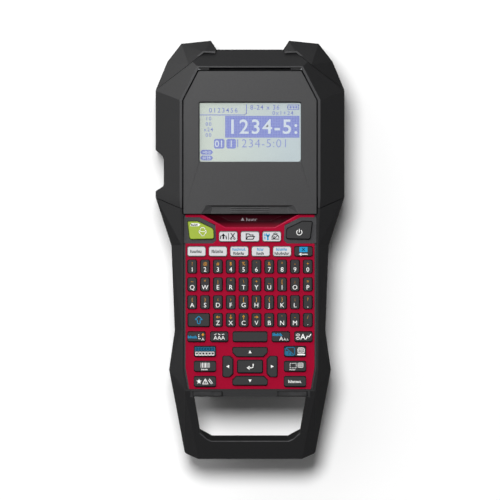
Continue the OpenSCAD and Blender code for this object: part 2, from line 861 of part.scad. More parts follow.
platen_phase = 0;
idler_phase = mesh_phase(platen_teeth, platen_phase, idler_teeth, idler_angle);
pinion_phase = mesh_phase(idler_teeth, idler_phase, pinion_teeth, motor_angle);
ribbon_phase = mesh_phase(platen_teeth, platen_phase, platen_teeth, ribbon_angle);

module platen_gear() {
  color(gear_white) translate([platen_pos.x, platen_pos.y, 0]) difference() {
    slab(gear_z, gear_z + gear_t) gear_plan(platen_teeth, platen_phase);
    rod(pin_r + 0.02, 0, 90);
  }
}

module idler_gear() {
  color(gear_white) translate([idler_pos.x, idler_pos.y, 0]) difference() {
    slab(gear_z, gear_z + gear_t) gear_plan(idler_teeth, idler_phase);
    rod(pin_r + run_gap, 0, 90);
  }
}

module ribbon_gear() {
  color(gear_white) translate([ribbon_pos.x, ribbon_pos.y, 0]) {
    slab(gear_z, gear_z + gear_t) gear_plan(platen_teeth, ribbon_phase);
    rod(2.5, gear_z + gear_t - e, tape_z + tape_w + 1);
  }
}

module motor_pinion() {
  color(steel) translate([motor_pos.x, motor_pos.y, 0]) {
    slab(gear_z, gear_z + gear_t) gear_plan(pinion_teeth, pinion_phase);
    rod(1, gear_z + gear_t - e, bay_floor_z + bay_floor_t + 6);
  }
}

module feed_motor() {
  low = bay_floor_z + bay_floor_t + 0.1;
  color(steel) translate([motor_pos.x, motor_pos.y, 0]) difference() {
    rod(8.6, low, low + 26);
    rod(1 + run_gap, 0, low + 8);
  }
}

module print_head() {
  low = bay_floor_z + bay_floor_t + 0.1;
  color([0.55, 0.56, 0.58]) {
    // Heat sink with fins and the ceramic strip that faces the platen.
    difference() {
      block([-32, -20], [40, 48.8], [low, tape_z + tape_w + 1]);
      for (x = [-30, -27, -24]) block([x - 0.5, x + 0.5], [39, 44], [low + 2, 90]);
    }
    block([-28.5, -23.5], [48.8 - e, tape_y - 0.1], [tape_z - 1, tape_z + tape_w + 1]);
  }
}

// Cutter ----------------------------------------------------------------------------------------------

module cutter_fixed_blade() {
  color(steel) difference() {
    block([-48, -47.1], [38, 62], [bay_floor_z - 1, tape_z + tape_w + 3]);
    block([-49, -46], [tape_y - 0.6, tape_y + 2.6], [tape_z - 1, tape_z + tape_w + 1]);
  }
}

module cutter_moving_blade() {
  color(steel) {
    // Blade with a slanted edge.
    translate([-49.1, 0, 0]) rotate([90, 0, 90]) linear_extrude(1)
      polygon([[53, tape_z + tape_w + 2], [62, tape_z + tape_w + 2], [62, 17.6], [51.9, 17.6]]);
    // Foot with the slot that the crank pin drives.
    difference() {
      union() {
        block([-53.5, -40.5], [70, 80], [17.6, 19]);
        block([-50.6, -47.6], [58, 70 + e], [17.6, 19]);
      }
      translate([cutter_pos.x, cutter_pos.y + crank_r, 0]) block([-4, 4], [-1.7, 1.7], [17, 20]);
    }
  }
}

module cutter_crank() {
  color(gear_white) translate([cutter_pos.x, cutter_pos.y, 0]) {
    rod(5, 15.2, 17);
    translate([0, crank_r, 0]) rod(1, 17 - e, 19.4);
    rod(1, 10, 15.2 + e);
  }
}

module cutter_motor() {
  color(steel) translate([cutter_pos.x, cutter_pos.y, 0]) difference() {
    rod(5.5, 8.5, 15);
    rod(1 + run_gap, 9, 16);
  }
}

rear_case();
head_frame();
grip_frame();
corner_bumper_left();
corner_bumper_right();
crossbar_pads();
keypad_bezel();
keypad_plate();
keymat();
main_board();
display_lid();
display_window();
lcd_module();
lid_inner_cover();
lid_hinge_pins();
cartridge_bay();
cartridge_case();
tape_roll();
ribbon_supply_spool();
ribbon_takeup_spool();
label_tape();
platen_roller();
platen_gear();
idler_gear();
ribbon_gear();
motor_pinion();
feed_motor();
print_head();
cutter_fixed_blade();
cutter_moving_blade();
cutter_crank();
cutter_motor();
battery_door();
battery_door_pin();
batteries();
battery_contacts();
case_screws();
rubber_feet();
dc_jack();
usb_socket();
print_key();
power_key();
menu_keys();
label_type_keys();
backspace_key();
number_keys();
top_letter_keys();
home_letter_keys();
bottom_letter_keys();
shift_key();
mode_keys();
space_key();
left_side_keys();
right_side_keys();
up_key();
down_key();
left_key();
right_key();
enter_key();
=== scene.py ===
"""Looks for the handheld label printer: materials, printed legends, the display's dots and the studio."""
import json
import math

import bmesh
import bpy
import numpy as np
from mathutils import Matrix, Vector


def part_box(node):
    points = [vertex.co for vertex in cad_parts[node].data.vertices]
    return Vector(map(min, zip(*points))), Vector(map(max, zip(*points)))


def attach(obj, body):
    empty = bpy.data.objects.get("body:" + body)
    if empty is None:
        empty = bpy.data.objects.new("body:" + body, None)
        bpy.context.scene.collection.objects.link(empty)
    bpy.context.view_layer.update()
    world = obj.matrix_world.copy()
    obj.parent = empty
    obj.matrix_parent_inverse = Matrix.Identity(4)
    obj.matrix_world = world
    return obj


MM = 0.001
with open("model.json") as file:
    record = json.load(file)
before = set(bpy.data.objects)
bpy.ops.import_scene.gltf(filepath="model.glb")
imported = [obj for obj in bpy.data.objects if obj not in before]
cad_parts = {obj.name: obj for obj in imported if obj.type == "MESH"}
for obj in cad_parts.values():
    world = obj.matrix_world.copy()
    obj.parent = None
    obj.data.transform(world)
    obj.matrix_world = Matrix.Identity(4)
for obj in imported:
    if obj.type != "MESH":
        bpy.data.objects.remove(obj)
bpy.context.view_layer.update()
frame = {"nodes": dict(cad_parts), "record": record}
NODES = frame["nodes"]
BODY_OF = {n: body for body, members in frame["record"]["behaviour"]["bodies"].items() for n in members}


# ---------------------------------------------------------------- materials

def srgb(hex_colour):
    """Linear RGBA from a hex colour."""
    values = [int(hex_colour[i:i + 2], 16) / 255 for i in (1, 3, 5)]
    return [v / 12.92 if v <= 0.04045 else ((v + 0.055) / 1.055) ** 2.4 for v in values] + [1.0]


def shade(colour, factor):
    return [min(1.0, c * factor) for c in colour[:3]] + [1.0]


BLACK = srgb("#202021")
GREY = srgb("#39393a")
KEY = srgb("#333334")
RED = srgb("#9a0a2c")
# Painted shade: the colour the finger scoop is darkened to below the lid.
SCOOP_SHADE = srgb("#2a0109")


def math_node(nodes, links, operation, *values):
    """Math node fed by numbers or sockets."""
    node = nodes.new("ShaderNodeMath")
    node.operation = operation
    for socket, value in zip(node.inputs, values):
        if isinstance(value, bpy.types.NodeSocket):
            links.new(value, socket)
        else:
            socket.default_value = value
    return node.outputs[0]


class Shader:
    """A Principled material and the small node graph that drives it, in object space."""

    def __init__(self, name, metallic=0.0, specular=0.5):
        self.material = bpy.data.materials.new(name)
        self.material.use_nodes = True
        self.nodes = self.material.node_tree.nodes
        self.links = self.material.node_tree.links
        self.bsdf = self.nodes["Principled BSDF"]
        self.bsdf.inputs["Metallic"].default_value = metallic
        self.bsdf.inputs["Specular IOR Level"].default_value = specular
        self.coords = self.nodes.new("ShaderNodeTexCoord").outputs["Object"]

    def noise(self, scale_mm, detail=2.0, stretch=(1, 1, 1)):
        """Noise with features of about scale_mm."""
        mapping = self.nodes.new("ShaderNodeMapping")
        mapping.inputs["Scale"].default_value = stretch
        self.links.new(self.coords, mapping.inputs["Vector"])
        noise = self.nodes.new("ShaderNodeTexNoise")
        noise.inputs["Scale"].default_value = 1 / (scale_mm * MM)
        noise.inputs["Detail"].default_value = detail
        self.links.new(mapping.outputs["Vector"], noise.inputs["Vector"])
        return noise.outputs["Fac"]

    def ramp(self, value, low, high, start=0.35, end=0.65):
        """Colour ramp from low to high over a value."""
        ramp = self.nodes.new("ShaderNodeValToRGB")
        first, last = ramp.color_ramp.elements
        first.position, last.position = start, end
        first.color, last.color = low, high
        self.links.new(value, ramp.inputs["Fac"])
        return ramp.outputs["Color"]

    def axis(self, name):
        """Object coordinate along one axis, in metres."""
        split = self.nodes.new("ShaderNodeSeparateXYZ")
        self.links.new(self.coords, split.inputs[0])
        return split.outputs[name]

    def span(self, value, low, high, start=0.0, end=1.0):
        """Maps start..end to low..high."""
        mapped = self.nodes.new("ShaderNodeMapRange")
        mapped.inputs["From Min"].default_value = start
        mapped.inputs["From Max"].default_value = end
        mapped.inputs["To Min"].default_value = low
        mapped.inputs["To Max"].default_value = high
        self.links.new(value, mapped.inputs["Value"])
        return mapped.outputs["Result"]

    def maths(self, operation, *values):
        return math_node(self.nodes, self.links, operation, *values)

    def bump(self, height, depth_mm, strength=1.0):
        bump = self.nodes.new("ShaderNodeBump")
        bump.inputs["Strength"].default_value = strength
        bump.inputs["Distance"].default_value = depth_mm * MM
        self.links.new(height, bump.inputs["Height"])
        self.links.new(bump.outputs["Normal"], self.bsdf.inputs["Normal"])

    def colour(self, output):
        self.links.new(output, self.bsdf.inputs["Base Color"])

    def roughness(self, output):
        self.links.new(output, self.bsdf.inputs["Roughness"])


def moulded(name, colour, rough=(0.45, 0.6), grain_mm=0.7, grain_depth_mm=0.03, mottle=0.12, specular=0.35):
    """Moulded plastic: spark-eroded grain in colour and relief, and handling marks in the gloss."""
    s = Shader(name, specular=specular)
    grain = s.noise(grain_mm, 2)
    s.colour(s.ramp(grain, shade(colour, 1 - mottle), shade(colour, 1 + mottle), 0.3, 0.7))
    s.roughness(s.span(s.noise(22, 4), *rough))
    s.bump(grain, grain_depth_mm)
    return s.material


def worn_highlight_edge(name, colour, rough=(0.3, 0.5)):
    """The bevelled edge of a moulding: painted lighter as a highlight, and lighter still in patches where
    hands and tables have polished it.
    """
    s = Shader(name, specular=0.5)
    # Painted highlight: the edge colour is lightened 1.15 to 1.75 times, in random patches.
    s.colour(s.ramp(s.noise(5, 4), shade(colour, 1.15), shade(colour, 1.75), 0.4, 0.7))
    s.roughness(s.span(s.noise(3, 3), *rough))
    return s.material


def panel_red(name, colour, specular):
    """Red bezel paint, glossier, with painted shade darkening the finger scoop toward the lid and below the
    bezel face.
    """
    s = Shader(name, specular=specular)
    bezel_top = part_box("keypad_bezel")[1]
    toward_lid = s.span(s.axis("Y"), 0, 1, bezel_top.y - 11.4 * MM, bezel_top.y - 4.9 * MM)
    below_face = s.span(s.axis("Z"), 0, 1, bezel_top.z - 0.1 * MM, bezel_top.z - 0.6 * MM)
    paint = s.ramp(s.noise(0.8, 2), shade(colour, 0.96), shade(colour, 1.04))
    # Painted shade: mixes to the scoop's shade colour toward the lid and below the bezel face.
    mix = s.nodes.new("ShaderNodeMix")
    mix.data_type = "RGBA"
    s.links.new(s.maths("MULTIPLY", toward_lid, below_face), mix.inputs["Factor"])
    s.links.new(paint, mix.inputs[6])
    mix.inputs[7].default_value = SCOOP_SHADE
    s.colour(mix.outputs[2])
    s.roughness(s.span(s.noise(12, 3), 0.3, 0.42))
    s.bump(s.noise(0.6, 1), 0.004)
    return s.material


def metal(name, colour, rough=(0.22, 0.38), brush=(1, 1, 18)):
    """Brushed or turned metal."""
    s = Shader(name, metallic=1.0)
    streaks = s.noise(1.2, 2, brush)
    s.colour(s.ramp(streaks, shade(colour, 0.88), colour))
    s.roughness(s.span(streaks, *rough))
    s.bump(streaks, 0.004)
    return s.material


def elastomer(name, colour):
    """Soft rubber: matt, dusty, with a fine pebble."""
    s = Shader(name, specular=0.25)
    s.colour(s.ramp(s.noise(4, 5), shade(colour, 0.85), shade(colour, 1.35)))
    s.roughness(s.span(s.noise(6, 3), 0.75, 0.92))
    s.bump(s.noise(0.5, 2), 0.04)
    return s.material


def ink(name, colour):
    """Screen-printed ink: slightly uneven cover."""
    s = Shader(name, specular=0.3)
    s.colour(s.ramp(s.noise(0.6, 3), shade(colour, 0.9), colour))
    s.roughness(s.span(s.noise(1.5, 2), 0.45, 0.65))
    return s.material


MATS = {
    "frame": moulded("frame_black", BLACK, (0.38, 0.48), specular=0.5),
    # Edge looks are lighter copies of their colours: painted highlights on the bevels.
    "frame_edge": worn_highlight_edge("frame_black_edge", shade(BLACK, 1.7)),
    # Painted highlight: a lighter copy of the frame black for the flat rims that face up.
    "frame_land": moulded("frame_black_land", shade(BLACK, 2.6), (0.34, 0.42), specular=0.6),
    "bumper": moulded("bumper_black", shade(BLACK, 0.8), (0.44, 0.54), 0.9, specular=0.4),
    # Painted highlight: a far lighter black for the line along the handle's bevel.
    "grip_highlight_edge": worn_highlight_edge("grip_black_highlight_edge", shade(BLACK, 3.4)),
    # Painted highlight: a lighter copy of the frame black for the crossbar's flat top.
    "crossbar": moulded("crossbar_black", shade(BLACK, 1.55), (0.38, 0.48), specular=0.5),
    "lid": moulded("lid_grey", GREY, (0.4, 0.48), specular=0.6),
    "lid_edge": worn_highlight_edge("lid_grey_edge", shade(GREY, 1.2)),
    "panel": panel_red("panel_red", RED, 0.12),
    # The bezel's bevelled edges take a lighter pink: painted highlight, with the same painted scoop shade.
    "panel_edge": panel_red("panel_red_edge", srgb("#c42a58"), 0.4),
    "plate": moulded("plate_grey", srgb("#3f3f41"), (0.45, 0.58)),
    "key": moulded("key_dark", KEY, (0.36, 0.5), 0.5, 0.008, 0.06),
    # Key edge looks are darker copies of the key colours: painted shade on the keys' rounded sides.
    "key_edge": moulded("key_dark_edge", shade(KEY, 0.35), (0.5, 0.6), 0.5, 0.008, 0.1, 0.2),
    "key_light": moulded("key_light", srgb("#cbcbcd"), (0.36, 0.5), 0.5, 0.008, 0.02),
    "key_light_edge": moulded("key_light_edge", srgb("#8c8a88"), (0.4, 0.5), 0.5, 0.008, 0.05),
    "key_green": moulded("key_green", srgb("#9bb040"), (0.34, 0.46), 0.5, 0.008, 0.03),
    "key_green_edge": moulded("key_green_edge", srgb("#7f9a24"), (0.34, 0.46), 0.5, 0.008, 0.05),
    "rubber": elastomer("rubber_black", srgb("#262627")),
    "pad": elastomer("pad_grey", srgb("#303031")),
    "steel": metal("bright_steel", srgb("#c3c5c8")),
    "blade": metal("blade_steel", srgb("#d6d8da"), (0.15, 0.28), (1, 20, 1)),
    "heatsink": metal("heatsink_aluminium", srgb("#a9abae"), (0.35, 0.5)),
    "gear": moulded("gear_white", srgb("#d6d2c8"), (0.3, 0.42), 0.5, 0.006, 0.02),
    "cartridge": moulded("cartridge_grey", srgb("#bcbcb9"), (0.4, 0.55), 0.5, 0.02, 0.03),
    "bay": moulded("bay_grey", srgb("#333335"), (0.5, 0.65)),
    "dark": moulded("inner_black", srgb("#1c1c1d"), (0.5, 0.7)),
}


# ---------------------------------------------------------------- finish of the CAD nodes

def finish_node(node, material, edge=None, bevel_mm=0.3, segments=2, angle=28):
    """Gives a CAD node its material and, with modifiers only, softly rounded edges."""
    obj = NODES[node]
    mesh = obj.data
    mesh.materials.clear()
    mesh.materials.append(material)
    if "custom_normal" in mesh.attributes:
        mesh.attributes.remove(mesh.attributes["custom_normal"])
    mesh.shade_smooth()
    mesh.polygons.foreach_set("material_index", [0] * len(mesh.polygons))
    weld = obj.modifiers.new("weld", "WELD")
    weld.merge_threshold = 0.002 * MM
    bevel = obj.modifiers.new("edges", "BEVEL")
    bevel.width = bevel_mm * MM
    bevel.segments = segments
    bevel.limit_method = "ANGLE"
    bevel.angle_limit = math.radians(angle)
    bevel.harden_normals = True
    bevel.miter_outer = "MITER_ARC"
    if edge:
        mesh.materials.append(edge)
        bevel.material = 1
    if angle < 20:
        flat = obj.modifiers.new("flat_faces", "WEIGHTED_NORMAL")
        flat.weight = 100


def light_edge(node, material, width_mm, front, wall):
    """Wider bevel in another material where two sets of faces meet, each set given by a test."""
    obj = NODES[node]
    mesh = obj.data
    mesh.materials.append(material)
    spots = [tuple(np.round(v.co / MM, 2)) for v in mesh.vertices]
    rims = [{spots[v] for face in mesh.polygons if test(face.center / MM, face.normal) for v in face.vertices}
            for test in (front, wall)]
    shared = rims[0] & rims[1]
    group = obj.vertex_groups.new(name="light_edge")
    group.add([i for i, spot in enumerate(spots) if spot in shared], 1.0, "ADD")
    bevel = obj.modifiers.new("light_edge", "BEVEL")
    bevel.limit_method = "VGROUP"
    bevel.vertex_group = group.name
    bevel.width = width_mm * MM
    bevel.segments = 2
    bevel.use_clamp_overlap = False
    bevel.material = len(mesh.materials) - 1
    obj.modifiers.move(len(obj.modifiers) - 1, 1)


def paint_faces(node, material, test):
    """Gives another material to the faces whose centre in mm and normal pass a test."""
    mesh = NODES[node].data
    mesh.materials.append(material)
    for face in mesh.polygons:
        if test(face.center / MM, face.normal):
            face.material_index = len(mesh.materials) - 1


KEY_LOOKS = {"print_key": "key_green", "menu_keys": "key_light", "label_type_keys": "key_light"}
FACET_ANGLE = 9  # degrees; the housing's facets meet at small angles
RIM_Z = 62  # mm; flat faces above this are the rims around the lid
KNUCKLE_DEPTH = 2.3  # mm of the lid's length that its hinge knuckles take
HAND_OPENING_Y = -116  # mm; the bar of the handle lies beyond this
LINING_Z = 45  # mm; the wall of the hand opening rises from here to the front


def is_flat(normal):
    return normal.z > 0.995


def finish_housing():
    m = MATS
    for node in ("rear_case", "head_frame", "battery_door"):
        finish_node(node, m["frame"], m["frame_edge"], 0.35, 2, FACET_ANGLE)
    finish_node("grip_frame", m["frame"], m["frame_edge"], 0.35, 2, FACET_ANGLE)
    # The handle's bevel ends in a painted highlight line along the front face.
    light_edge("grip_frame", m["grip_highlight_edge"], 0.5,
               lambda centre, normal: normal.y < -0.3 and normal.z > 0.9,
               lambda centre, normal: centre.y < HAND_OPENING_Y and centre.z > LINING_Z
               and normal.y > 0.3 and normal.z < 0.5)
    for node in ("corner_bumper_left", "corner_bumper_right"):
        finish_node(node, m["bumper"], m["frame_edge"], 0.35, 2, FACET_ANGLE)
    # The flat rim around the lid and the lips of the bumpers are smoother, and painted lighter as a highlight
    # on their up-facing faces.
    for node in ("head_frame", "corner_bumper_left", "corner_bumper_right"):
        paint_faces(node, m["frame_land"], lambda centre, normal: is_flat(normal) and centre.z > RIM_Z)
    # The crossbar's flat top gets its lighter black: a painted highlight.
    pads_lo, pads_hi = (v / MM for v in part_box("crossbar_pads"))
    paint_faces("grip_frame", m["crossbar"],
                lambda centre, normal: is_flat(normal) and centre.z > pads_lo.z and centre.y < pads_hi.y + 2)
    finish_node("display_lid", m["lid"], m["lid_edge"], 0.35, 2, FACET_ANGLE)
    # Painted shade: the lid's hinge knuckles take the near-black inner material, standing in for the shadow
    # in the gap above the lid.
    knuckles_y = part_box("display_lid")[1].y / MM - KNUCKLE_DEPTH
    paint_faces("display_lid", m["dark"], lambda centre, normal: centre.y > knuckles_y)


def finish_nodes():
    m = MATS
    finish_housing()
    finish_node("keypad_bezel", m["panel"], m["panel_edge"], 0.22)
    finish_node("keypad_plate", m["plate"], m["lid_edge"], 0.3)
    for node in NODES:
        if node.endswith(("_key", "_keys")):
            look = KEY_LOOKS.get(node, "key")
            # Painted shade: each key's rounded edge takes its darker edge look.
            finish_node(node, m[look], m[look + "_edge"], 0.45, 3)
    # Painted shade: the pads' rounded edges take the darker rubber.
    finish_node("crossbar_pads", m["pad"], m["rubber"], 0.9, 4)
    for node in ("rubber_feet", "keymat", "platen_roller", "dc_jack"):
        finish_node(node, m["rubber"], None, 0.3)
    for node in ("lid_hinge_pins", "battery_door_pin", "motor_pinion", "feed_motor", "cutter_motor",
                 "case_screws", "battery_contacts", "usb_socket"):
        finish_node(node, m["steel"], None, 0.1)
    for node in ("cutter_fixed_blade", "cutter_moving_blade"):
        finish_node(node, m["blade"], None, 0.05)
    for node in ("platen_gear", "idler_gear", "ribbon_gear", "cutter_crank", "ribbon_takeup_spool"):
        finish_node(node, m["gear"], None, 0.08)
    finish_node("print_head", m["heatsink"], None, 0.1)
    finish_node("cartridge_case", m["cartridge"], None, 0.3)
    finish_node("cartridge_bay", m["bay"], None, 0.3)
    finish_node("lid_inner_cover", m["dark"], None, 0.3)
    finish_node("display_window", window_clear(), None, 0.15)
    finish_node("lcd_module", display_ground(), None, 0.2)
    finish_node("tape_roll", wound_film("label_film", srgb("#efe6a2"), 0.2))
    finish_node("label_tape", wound_film("label_strip", srgb("#efe9c0"), 0.2), None, 0.02)
    finish_node("ribbon_supply_spool", wound_film("ink_ribbon", srgb("#26262c"), 0.1))
    finish_node("batteries", cell_sleeve(), None, 0.4)
    finish_node("main_board", solder_mask(), None, 0.1)


def window_clear():
    """Clear window: a thin reflecting sheet that lets the display show."""
    s = Shader("window_clear", specular=0.6)
    s.bsdf.inputs["Base Color"].default_value = (0.9, 0.93, 0.93, 1)
    s.bsdf.inputs["Alpha"].default_value = 0.08
    s.bsdf.inputs["Roughness"].default_value = 0.06
    return s.material


def display_ground():
    """Unlit liquid-crystal ground: pale grey-green, greener to the left."""
    s = Shader("display_ground", specular=0.3)
    across = s.span(s.axis("X"), 0, 1, -34 * MM, 34 * MM)
    s.colour(s.ramp(across, srgb("#bcc6bc"), srgb("#aebcc0"), 0.1, 0.9))
    s.roughness(s.span(s.noise(8, 2), 0.45, 0.6))
    return s.material


def wound_film(name, colour, layer_mm):
    """Film wound in a roll: fine rings on the flat ends."""
    s = Shader(name, specular=0.5)
    s.colour(s.ramp(s.noise(layer_mm * 4, 2, (1, 1, 0.05)), shade(colour, 0.85), colour))
    s.roughness(s.span(s.noise(2, 2), 0.25, 0.45))
    s.bump(s.noise(layer_mm, 1, (0.1, 0.1, 1)), 0.01)
    return s.material


def cell_sleeve():
    """Printed sleeve of a battery: copper tones that vary in broad patches."""
    s = Shader("cell_sleeve", specular=0.5)
    s.colour(s.ramp(s.noise(20, 1), srgb("#b07a2c"), srgb("#c99a4a")))
    s.roughness(s.span(s.noise(3, 3), 0.2, 0.35))
    return s.material


def solder_mask():
    s = Shader("solder_mask", specular=0.5)
    s.colour(s.ramp(s.noise(1.5, 4), srgb("#0c4a28"), srgb("#14653a"), 0.45, 0.55))
    s.roughness(s.span(s.noise(1, 2), 0.3, 0.5))
    return s.material


# ---------------------------------------------------------------- printed legends

INKS = {
    "white": ink("ink_white", srgb("#f6f6f4")),
    "orange": ink("ink_orange", srgb("#d18f28")),
    "cyan": ink("ink_cyan", srgb("#1c94c8")),
    "teal": ink("ink_teal", srgb("#1d6f94")),
    "dark": ink("ink_dark", srgb("#101012")),
    "dim": ink("ink_dim", srgb("#8f888c")),
}


def box_corners(x, y, w, h):
    return [(x - w / 2, y - h / 2), (x + w / 2, y - h / 2), (x + w / 2, y + h / 2), (x - w / 2, y + h / 2)]


class Print:
    """Flat printed shapes in one ink on one body, in millimetres at height z (metres)."""

    def __init__(self, name, body, z, material, thickness_mm=0.03):
        self.name, self.body, self.z, self.material = name, body, z, material
        self.thickness = thickness_mm * MM
        self.mesh = bmesh.new()

    def polygon(self, points):
        """Closed outline, in any direction."""
        area = sum(a[0] * b[1] - b[0] * a[1] for a, b in zip(points, points[1:] + points[:1]))
        if area < 0:
            points = points[::-1]
        self.mesh.faces.new([self.mesh.verts.new((x * MM, y * MM, self.z)) for x, y in points])

    def bar(self, x, y, w, h):
        """Bar around its centre."""
        self.polygon(box_corners(x, y, w, h))

    def outline(self, x, y, w, h, width):
        """Outline of a box around its centre."""
        corners = box_corners(x, y, w, h)
        self.stroke(corners + corners[:1], width)

    def stroke(self, points, width):
        """Line of one width through points, each segment a bar that reaches past its ends."""
        for (x0, y0), (x1, y1) in zip(points, points[1:]):
            length = math.hypot(x1 - x0, y1 - y0)
            ux, uy = (x1 - x0) / length * width / 2, (y1 - y0) / length * width / 2
            self.polygon([(x0 - ux + uy, y0 - uy - ux), (x1 + ux + uy, y1 + uy - ux),
                          (x1 + ux - uy, y1 + uy + ux), (x0 - ux - uy, y0 - uy + ux)])

    def arc(self, x, y, r, width, start, end, steps=20):
        """Arc band from start to end degrees."""
        angles = [math.radians(start + (end - start) * i / steps) for i in range(steps + 1)]
        outer = [(x + (r + width / 2) * math.cos(a), y + (r + width / 2) * math.sin(a)) for a in angles]
        inner = [(x + (r - width / 2) * math.cos(a), y + (r - width / 2) * math.sin(a)) for a in angles]
        for i in range(steps):
            self.polygon([outer[i], outer[i + 1], inner[i + 1], inner[i]])

    def word(self, x, y, w, h, tall="0", pitch=0.74):
        """Unreadable stand-in for a printed word: short strokes, some of them tall."""
        count = max(2, round(w / pitch))
        for i in range(count):
            height = h if str(i) in tall else h * 0.7
            left = x - w / 2 + i * w / count
            self.bar(left, y - h / 2 + height / 2, 0.46, height)
            if i % 3 != 2:
                self.bar(left + w / count / 2, y - h / 2 + (0.16 if i % 2 else h * 0.62), w / count, 0.32)

    def text(self, characters, x, y, height, weight=0.0, spacing=1.0):
        """Characters centred on a point; height is that of a capital, weight thickens the strokes (mm)."""
        curve = bpy.data.curves.new("glyphs", "FONT")
        curve.body = characters
        curve.size = height / 0.69 * MM
        curve.align_x = "CENTER"
        curve.resolution_u = 3
        curve.offset = weight * MM
        curve.space_character = spacing
        glyphs = bpy.data.objects.new("glyphs", curve)
        bpy.context.scene.collection.objects.link(glyphs)
        mesh = bpy.data.meshes.new_from_object(glyphs.evaluated_get(bpy.context.evaluated_depsgraph_get()))
        for v in mesh.vertices:
            v.co += Vector((x * MM, (y - height / 2) * MM, self.z))
        self.mesh.from_mesh(mesh)
        bpy.data.objects.remove(glyphs)
        bpy.data.curves.remove(curve)
        bpy.data.meshes.remove(mesh)

    def done(self):
        """Makes the object; it rides on its body."""
        for face in self.mesh.faces:
            face.smooth = False
        mesh = bpy.data.meshes.new(self.name)
        self.mesh.to_mesh(mesh)
        self.mesh.free()
        obj = bpy.data.objects.new(self.name, mesh)
        bpy.context.scene.collection.objects.link(obj)
        mesh.materials.append(self.material)
        solid = obj.modifiers.new("film", "SOLIDIFY")
        solid.thickness = self.thickness
        solid.offset = 0
        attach(obj, self.body)
        return obj


def key_spots(node):
    """Centre (x, y) of each key of a node in mm, row by row from the top and each row from left to right."""
    mesh = NODES[node].data
    points = np.array([v.co for v in mesh.vertices])
    keys = np.unique(np.round(points / (0.01 * MM)).astype(int), axis=0, return_inverse=True)[1].ravel()
    parent = list(range(keys.max() + 1))

    def root(i):
        while parent[i] != i:
            parent[i] = parent[parent[i]]
            i = parent[i]
        return i

    for face in mesh.polygons:
        first = root(keys[face.vertices[0]])
        for v in face.vertices[1:]:
            parent[root(keys[v])] = first
    groups = {}
    for i, p in zip(keys, points):
        groups.setdefault(root(i), []).append(p)
    middles = []
    for group in groups.values():
        lo, hi = np.min(group, axis=0) / MM, np.max(group, axis=0) / MM
        middles.append(((lo[0] + hi[0]) / 2, (lo[1] + hi[1]) / 2))
    return sorted(middles, key=lambda spot: (-round(spot[1]), spot[0]))


class KeyInk:
    """The inks of one key node."""

    def __init__(self, node):
        self.node = node
        self.spots = key_spots(node)
        self.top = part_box(node)[1].z
        self.layers = {}

    def __getitem__(self, colour):
        if colour not in self.layers:
            self.layers[colour] = Print(f"{self.node}_legend_{colour}", BODY_OF[self.node],
                                        self.top + 0.012 * MM, INKS[colour])
        return self.layers[colour]

    def done(self):
        for layer in self.layers.values():
            layer.done()


LETTER_ROWS = {
    "number_keys": ("1234567890", "!@#$%'&*-+"),
    "top_letter_keys": ("QWERTYUIOP", "~*|\"\\+_[:="),
    "home_letter_keys": ("ASDFGHJKL,", "()\u2039\u203a[]{};?"),
    "bottom_letter_keys": ("ZXCVBNM.", "<v^>~`-/"),
}


ARROWS = {"<": (-1, 0), ">": (1, 0), "^": (0, 1), "v": (0, -1)}


def arrow(layer, x, y, dx, dy):
    """Small arrow around a point: a stem and a head."""
    layer.stroke([(x - dx * 1.2, y - dy * 1.2), (x + dx * 0.2, y + dy * 0.2)], 0.42)
    layer.polygon([(x + dx * 1.4, y + dy * 1.4), (x - dy * 0.95, y + dx * 0.95),
                   (x + dy * 0.95, y - dx * 0.95)])


def letter_legends():
    for node, (letters, signs) in LETTER_ROWS.items():
        keys = KeyInk(node)
        for (x, y), letter, sign in zip(keys.spots, letters, signs):
            keys["white"].text(letter, x, y - 1.9, 2.9, 0.0)
            if sign in ARROWS:
                arrow(keys["orange"], x, y + 1.95, *ARROWS[sign])
            else:
                keys["orange"].text(sign, x, y + 1.95, 1.9 if sign == "@" else 2.2, 0.0)
        keys.done()


def print_legend():
    keys = KeyInk("print_key")
    (x, y), = keys.spots
    white = keys["white"]
    # Oval tag and a small printer sign.
    white.polygon([(x - 7.2, y + 2.6), (x - 6.2, y + 4.6), (x - 1.6, y + 4.6), (x - 0.2, y + 3.6),
                   (x - 1.6, y + 2.6)])
    cx, cy = x + 1.3, y - 0.9
    white.stroke([(cx - 2.7, cy), (cx - 1.3, cy + 1.3), (cx - 1.3, cy + 2.6), (cx + 1.3, cy + 2.6),
                  (cx + 1.3, cy + 1.3), (cx + 2.7, cy), (cx + 1.3, cy - 1.6), (cx + 0.7, cy - 2.8),
                  (cx - 0.7, cy - 2.8), (cx - 1.3, cy - 1.6), (cx - 2.7, cy)], 0.42)
    white.stroke([(cx - 1.5, cy), (cx + 1.5, cy)], 0.35)
    keys["cyan"].word(x - 3.9, y + 3.55, 4.6, 1.6, "035")
    keys.done()


def power_legend():
    keys = KeyInk("power_key")
    (x, y), = keys.spots
    white = keys["white"]
    white.arc(x, y - 1.4, 1.75, 0.45, -235, 55)
    white.stroke([(x, y - 1.2), (x, y + 0.7)], 0.45)
    keys.done()


